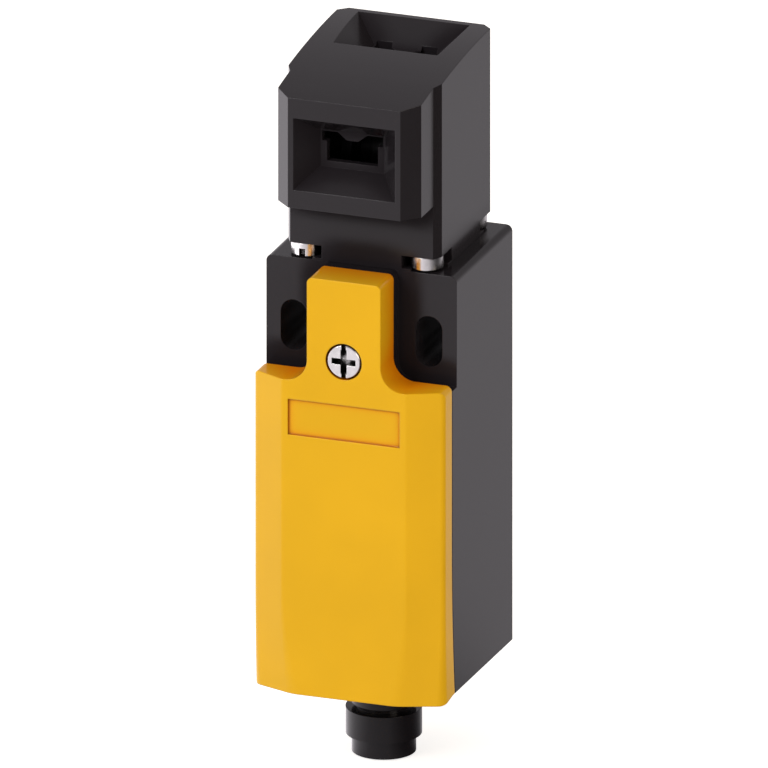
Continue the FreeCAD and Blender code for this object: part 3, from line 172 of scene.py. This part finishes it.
def spread(nodes, links, value, low, high):
    """Maps a noise value onto a range."""
    remap = nodes.new("ShaderNodeMapRange")
    remap.inputs["From Min"].default_value = NOISE_LOW
    remap.inputs["From Max"].default_value = NOISE_HIGH
    remap.inputs["To Min"].default_value = low
    remap.inputs["To Max"].default_value = high
    links.new(value, remap.inputs["Value"])
    return remap.outputs["Result"]


def varied_colour(nodes, links, value, colour, contrast):
    """The colour, slightly darker and lighter by a noise value."""
    mix = nodes.new("ShaderNodeMix")
    mix.data_type = "RGBA"
    mix.inputs["A"].default_value = (*[c * (1 - contrast) for c in colour], 1)
    mix.inputs["B"].default_value = (*[min(1.0, c * (1 + contrast)) for c in colour], 1)
    links.new(spread(nodes, links, value, 0.0, 1.0), mix.inputs["Factor"])
    return mix.outputs["Result"]


def surface_bump(nodes, links, height, distance, edge_radius):
    """Bump from a height value, on normals that soften the edges by a small radius."""
    bump = nodes.new("ShaderNodeBump")
    bump.inputs["Strength"].default_value = 1.0
    bump.inputs["Distance"].default_value = distance
    links.new(height, bump.inputs["Height"])
    if edge_radius:
        bevel = nodes.new("ShaderNodeBevel")
        bevel.samples = EDGE_SAMPLES
        bevel.inputs["Radius"].default_value = edge_radius
        links.new(bevel.outputs["Normal"], bump.inputs["Normal"])
    return bump.outputs["Normal"]


def open_share(nodes, links, reach, shut, open_):
    """0 deep in a slot, notch or other crevice and 1 on an open face."""
    hollow = nodes.new("ShaderNodeAmbientOcclusion")
    hollow.samples = CORNER_SAMPLES
    hollow.inputs["Distance"].default_value = reach
    remap = nodes.new("ShaderNodeMapRange")
    remap.inputs["From Min"].default_value = shut
    remap.inputs["From Max"].default_value = open_
    links.new(hollow.outputs["AO"], remap.inputs["Value"])
    return remap.outputs["Result"]


def corner_shaded(nodes, links, tone, corner_shades):
    """The tone, with other colours painted into its slots, notches and inner corners as shade."""
    for colour, reach, shut, open_ in corner_shades:
        mix = nodes.new("ShaderNodeMix")
        mix.data_type = "RGBA"
        mix.inputs["A"].default_value = (*colour, 1)
        links.new(open_share(nodes, links, reach, shut, open_), mix.inputs["Factor"])
        links.new(tone, mix.inputs["B"])
        tone = mix.outputs["Result"]
    return tone


def moulded_plastic(
    name,
    colour,
    roughness,
    depth=EROSION_DEPTH,
    edge=PLASTIC_EDGE,
    ior=PLASTIC_IOR,
    recess_shade=None,
    corner_shades=(),
    gloss=WHITE,
):
    """Moulded plastic: a fine spark-eroded grain, faint flow marks and uneven gloss.

    Its recesses may have their gloss dimmed and its inner corners may take other colours, both as
    painted shade.
    """
    material, nodes, links, shader = new_material(name)
    fine = noise(nodes, links, EROSION_SCALE)
    broad = noise(nodes, links, FLOW_SCALE, detail=2.0)
    tone = varied_colour(nodes, links, broad, colour, contrast=0.04)
    links.new(corner_shaded(nodes, links, tone, corner_shades), shader.inputs["Base Color"])
    low, high = [share * roughness for share in PLASTIC_UNEVENNESS]
    links.new(spread(nodes, links, broad, low, high), shader.inputs["Roughness"])
    links.new(surface_bump(nodes, links, fine, depth, edge), shader.inputs["Normal"])
    shader.inputs["IOR"].default_value = ior
    shader.inputs["Specular Tint"].default_value = (*gloss, 1)
    # Painted shade: the gloss is dimmed in recesses
    if recess_shade:
        gloss_shade = nodes.new("ShaderNodeMix")
        gloss_shade.data_type = "RGBA"
        gloss_shade.inputs["A"].default_value = (*SHADED_GLOSS, 1)
        gloss_shade.inputs["B"].default_value = (*gloss, 1)
        links.new(open_share(nodes, links, *recess_shade), gloss_shade.inputs["Factor"])
        links.new(gloss_shade.outputs["Result"], shader.inputs["Specular Tint"])
    return material


def rubber(name, colour):
    """Seal rubber: dull, with a soft uneven skin."""
    material, nodes, links, shader = new_material(name)
    skin = noise(nodes, links, SKIN_SCALE)
    tone = varied_colour(nodes, links, skin, colour, contrast=0.15)
    links.new(tone, shader.inputs["Base Color"])
    links.new(spread(nodes, links, skin, *RUBBER_ROUGHNESS), shader.inputs["Roughness"])
    normal = surface_bump(nodes, links, skin, SKIN_DEPTH, RUBBER_EDGE)
    links.new(normal, shader.inputs["Normal"])
    return material


def metal(name, colour, roughness, grain=EVEN_GRAIN, corner_shades=()):
    """Plated or drawn metal: its grain is stretched along the way it was worked."""
    material, nodes, links, shader = new_material(name)
    worked = stretched_noise(nodes, links, grain)
    tone = varied_colour(nodes, links, worked, colour, contrast=0.06)
    # Painted shade in slots and notches, where corner shades are given
    links.new(corner_shaded(nodes, links, tone, corner_shades), shader.inputs["Base Color"])
    low, high = [share * roughness for share in METAL_UNEVENNESS]
    links.new(spread(nodes, links, worked, low, high), shader.inputs["Roughness"])
    normal = surface_bump(nodes, links, worked, METAL_DEPTH, METAL_EDGE)
    links.new(normal, shader.inputs["Normal"])
    shader.inputs["Metallic"].default_value = 1.0
    return material


def clear_plastic(name):
    """Clear cover plate with a faint haze."""
    material, nodes, links, shader = new_material(name)
    haze = noise(nodes, links, HAZE_SCALE)
    tone = varied_colour(nodes, links, haze, CLEAR_PLASTIC, contrast=0.02)
    links.new(tone, shader.inputs["Base Color"])
    links.new(spread(nodes, links, haze, *CLEAR_ROUGHNESS), shader.inputs["Roughness"])
    shader.inputs["Transmission Weight"].default_value = 1.0
    shader.inputs["IOR"].default_value = CLEAR_IOR
    return material


def dress(frame):
    """Gives every CAD node its material."""
    # The housing's recesses get their gloss dimmed as painted shade.
    black = moulded_plastic(
        "black_housing_plastic", BLACK_PLASTIC, 0.18, edge=HOUSING_EDGE, recess_shade=BLACK_RECESS_SHADE
    )
    # The cover gets painted shade in its inner corners and along its recess edges.
    yellow = moulded_plastic(
        "yellow_cover_plastic",
        YELLOW_PLASTIC,
        0.15,
        edge=COVER_EDGE,
        corner_shades=COVER_PAINTED_SHADE,
        gloss=YELLOW_GLOSS,
    )
    plug = moulded_plastic(
        "black_plug_plastic", PLUG_PLASTIC, 0.15, edge=HOUSING_EDGE, ior=PLUG_IOR
    )
    inner = moulded_plastic(
        "inner_black_plastic", INNER_PLASTIC, 0.42, depth=COARSE_EROSION_DEPTH
    )
    rotor = moulded_plastic("rotor_plastic", ROTOR_PLASTIC, 0.4)
    moving = moulded_plastic("red_plunger_plastic", PLUNGER_PLASTIC, 0.36)
    block = moulded_plastic("contact_block_plastic", BLOCK_PLASTIC, 0.45)
    insert = moulded_plastic("plug_insert_plastic", INSERT_PLASTIC, 0.4)
    seal = rubber("seal_rubber", SEAL_RUBBER)
    # The screws get painted shade in their slots and notches.
    nickel = metal("nickel_plated_screw", NICKEL, 0.22, corner_shades=SCREW_PAINTED_SHADE)
    opening_shade_metal = metal("opening_shade_steel", OPENING_SHADE_STEEL, 0.42)
    steel = metal("drawn_steel", STEEL, 0.3, grain=DRAWN_GRAIN)
    spring = metal("spring_wire", SPRING_STEEL, 0.3)
    brass = metal("turned_brass", BRASS, 0.3, grain=TURNED_GRAIN)
    gold = metal("gold_pin", GOLD, 0.2)
    contact = metal("silvered_contact", CONTACT_METAL, 0.28, grain=ROLLED_GRAIN)
    chosen = {
        "housing": black,
        "head_housing": black,
        "cover": yellow,
        "plug_shell": plug,
        "cover_screw": nickel,
        "head_screws": nickel,
        "contact_block_screws": nickel,
        "terminal_screws": nickel,
        "cover_screw_retainer": steel,
        "rotor_axle": steel,
        "terminal_clamps": steel,
        "code_disc_left": opening_shade_metal,
        "code_disc_right": opening_shade_metal,
        "plunger_spring": spring,
        "return_spring": spring,
        "contact_springs": spring,
        "cover_insert": brass,
        "plug_locknut": brass,
        "plug_pins": gold,
        "head_base": inner,
        "axle_keepers": inner,
        "cover_gasket": seal,
        "head_seal": seal,
        "plunger_wiper": seal,
        "plug_seal": seal,
        "cam_hub": rotor,
        "head_plunger": moving,
        "contact_carrier": moving,
        "contact_block_base": block,
        "contact_block_window": clear_plastic("clear_window_plastic"),
        "break_bridge": contact,
        "make_bridge": contact,
        "break_contacts": contact,
        "make_contacts": contact,
        "plug_insert": insert,
    }
    for name, colour in LEAD_COLOURS.items():
        chosen[name] = moulded_plastic(f"{name}_insulation", colour, 0.45, edge=0.0)
    for name, node in frame["nodes"].items():
        node.data.materials.clear()
        node.data.materials.append(chosen[name])


def reflected_room(nodes, links, direction):
    """Brightness of the room by direction, as reflections see it."""
    split = nodes.new("ShaderNodeSeparateXYZ")
    links.new(direction, split.inputs[0])
    across = nodes.new("ShaderNodeMapRange")
    across.inputs["From Min"].default_value = -1.0
    across.inputs["From Max"].default_value = 1.0
    links.new(split.outputs["X"], across.inputs["Value"])
    ramp = nodes.new("ShaderNodeValToRGB")
    stops = ramp.color_ramp.elements
    while len(stops) < len(ROOM_FROM_LEFT):
        stops.new(0.5)
    for stop, (place, level) in zip(stops, ROOM_FROM_LEFT):
        stop.position = place
        stop.color = (*[level * share for share in ROOM_TINT], 1)
    links.new(across.outputs["Result"], ramp.inputs["Fac"])
    return ramp.outputs["Color"]


def ray_kinds(nodes, links):
    """Two values that are 1 for camera rays, and for reflected and transmitted rays."""
    path = nodes.new("ShaderNodeLightPath")
    either = nodes.new("ShaderNodeMath")
    either.operation = "MAXIMUM"
    links.new(path.outputs["Is Glossy Ray"], either.inputs[0])
    links.new(path.outputs["Is Transmission Ray"], either.inputs[1])
    return path.outputs["Is Camera Ray"], either.outputs[0]


def mixed(nodes, links, factor, first, second):
    """One shader where the factor is 0 and the other where it is 1."""
    mix = nodes.new("ShaderNodeMixShader")
    links.new(factor, mix.inputs["Fac"])
    links.new(first, mix.inputs[1])
    links.new(second, mix.inputs[2])
    return mix.outputs[0]


def build_world():
    """White surroundings with a soft warm fill; reflections see a room, lit from the left."""
    world = bpy.data.worlds.new("studio")
    bpy.context.scene.world = world
    world.use_nodes = True
    nodes = world.node_tree.nodes
    links = world.node_tree.links
    nodes.clear()
    backdrop = nodes.new("ShaderNodeBackground")
    backdrop.inputs["Color"].default_value = (*WHITE, 1)
    fill = nodes.new("ShaderNodeBackground")
    fill.inputs["Color"].default_value = (*WARM_WHITE, 1)
    fill.inputs["Strength"].default_value = FILL_STRENGTH
    room = nodes.new("ShaderNodeBackground")
    coordinates = nodes.new("ShaderNodeTexCoord")
    height = nodes.new("ShaderNodeSeparateXYZ")
    links.new(coordinates.outputs["Generated"], height.inputs[0])
    dimming = nodes.new("ShaderNodeMapRange")
    dimming.inputs["To Min"].default_value = ROOM_OVER_HORIZON
    dimming.inputs["To Max"].default_value = ROOM_OVERHEAD
    links.new(height.outputs["Z"], dimming.inputs["Value"])
    links.new(dimming.outputs["Result"], room.inputs["Strength"])
    level = reflected_room(nodes, links, coordinates.outputs["Generated"])
    links.new(level, room.inputs["Color"])
    camera, reflected = ray_kinds(nodes, links)
    lit = mixed(nodes, links, reflected, fill.outputs[0], room.outputs[0])
    output = nodes.new("ShaderNodeOutputWorld")
    surface = mixed(nodes, links, camera, lit, backdrop.outputs[0])
    links.new(surface, output.inputs["Surface"])


def build_floor(low_z):
    """Pale floor below the part; it keeps the part's soft shadow."""
    place = (0, VIEW_AIM.y, low_z - FLOOR_GAP)
    bpy.ops.mesh.primitive_plane_add(size=FLOOR_SIZE, location=place)
    floor = bpy.context.object
    floor.name = "studio_floor"
    material = bpy.data.materials.new("pale_floor")
    material.use_nodes = True
    nodes = material.node_tree.nodes
    links = material.node_tree.links
    nodes.clear()
    paint = nodes.new("ShaderNodeBsdfDiffuse")
    paint.inputs["Color"].default_value = (*FLOOR_PAINT, 1)
    glow = nodes.new("ShaderNodeEmission")
    glow.inputs["Strength"].default_value = FLOOR_GLOW
    bright = nodes.new("ShaderNodeAddShader")
    links.new(paint.outputs[0], bright.inputs[0])
    links.new(glow.outputs[0], bright.inputs[1])
    coordinates = nodes.new("ShaderNodeTexCoord")
    outwards = nodes.new("ShaderNodeVectorMath")
    outwards.operation = "NORMALIZE"
    links.new(coordinates.outputs["Object"], outwards.inputs[0])
    room = nodes.new("ShaderNodeEmission")
    level = reflected_room(nodes, links, outwards.outputs["Vector"])
    links.new(level, room.inputs["Color"])
    camera, reflected = ray_kinds(nodes, links)
    plain = mixed(nodes, links, reflected, paint.outputs[0], room.outputs[0])
    output = nodes.new("ShaderNodeOutputMaterial")
    surface = mixed(nodes, links, camera, plain, bright.outputs[0])
    links.new(surface, output.inputs["Surface"])
    floor.data.materials.append(material)


def area_light(name, place, size, power, colour):
    """A soft square lamp that faces the part."""
    lamp = bpy.data.lights.new(name, "AREA")
    lamp.shape = "SQUARE"
    lamp.size = size
    lamp.energy = power
    lamp.color = colour
    obj = bpy.data.objects.new(name, lamp)
    obj.location = place
    aim = VIEW_AIM - Vector(place)
    obj.rotation_euler = aim.to_track_quat("-Z", "Y").to_euler()
    bpy.context.scene.collection.objects.link(obj)


def build_camera():
    """The camera looks at VIEW_AIM from VIEW_AZIMUTH and VIEW_ELEVATION."""
    azimuth = math.radians(VIEW_AZIMUTH)
    elevation = math.radians(VIEW_ELEVATION)
    back = Vector(
        (
            math.sin(azimuth) * math.cos(elevation),
            -math.cos(azimuth) * math.cos(elevation),
            math.sin(elevation),
        )
    )
    lens = bpy.data.cameras.new("product_camera")
    lens.type = "ORTHO"
    lens.ortho_scale = VIEW_WIDTH
    camera = bpy.data.objects.new("product_camera", lens)
    camera.location = VIEW_AIM + back * VIEW_DISTANCE
    camera.rotation_euler = (-back).to_track_quat("-Z", "Y").to_euler()
    bpy.context.scene.collection.objects.link(camera)
    bpy.context.scene.camera = camera


def as_lists(bounds):
    """The two corners of a box as plain numbers."""
    return [[float(v) for v in corner] for corner in bounds]


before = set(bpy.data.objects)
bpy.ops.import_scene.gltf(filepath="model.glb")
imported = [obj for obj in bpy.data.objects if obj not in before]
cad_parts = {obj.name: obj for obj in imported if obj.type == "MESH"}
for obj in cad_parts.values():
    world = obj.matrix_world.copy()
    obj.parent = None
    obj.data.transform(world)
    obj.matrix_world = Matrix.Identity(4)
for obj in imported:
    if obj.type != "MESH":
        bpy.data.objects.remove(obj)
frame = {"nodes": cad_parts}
cad_bounds = as_lists(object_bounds())
bpy.context.scene.view_settings.view_transform = "Standard"
dress(frame)
build_world()
build_floor(cad_bounds[0][2])
for lamp in LAMPS:
    area_light(*lamp)
build_camera()
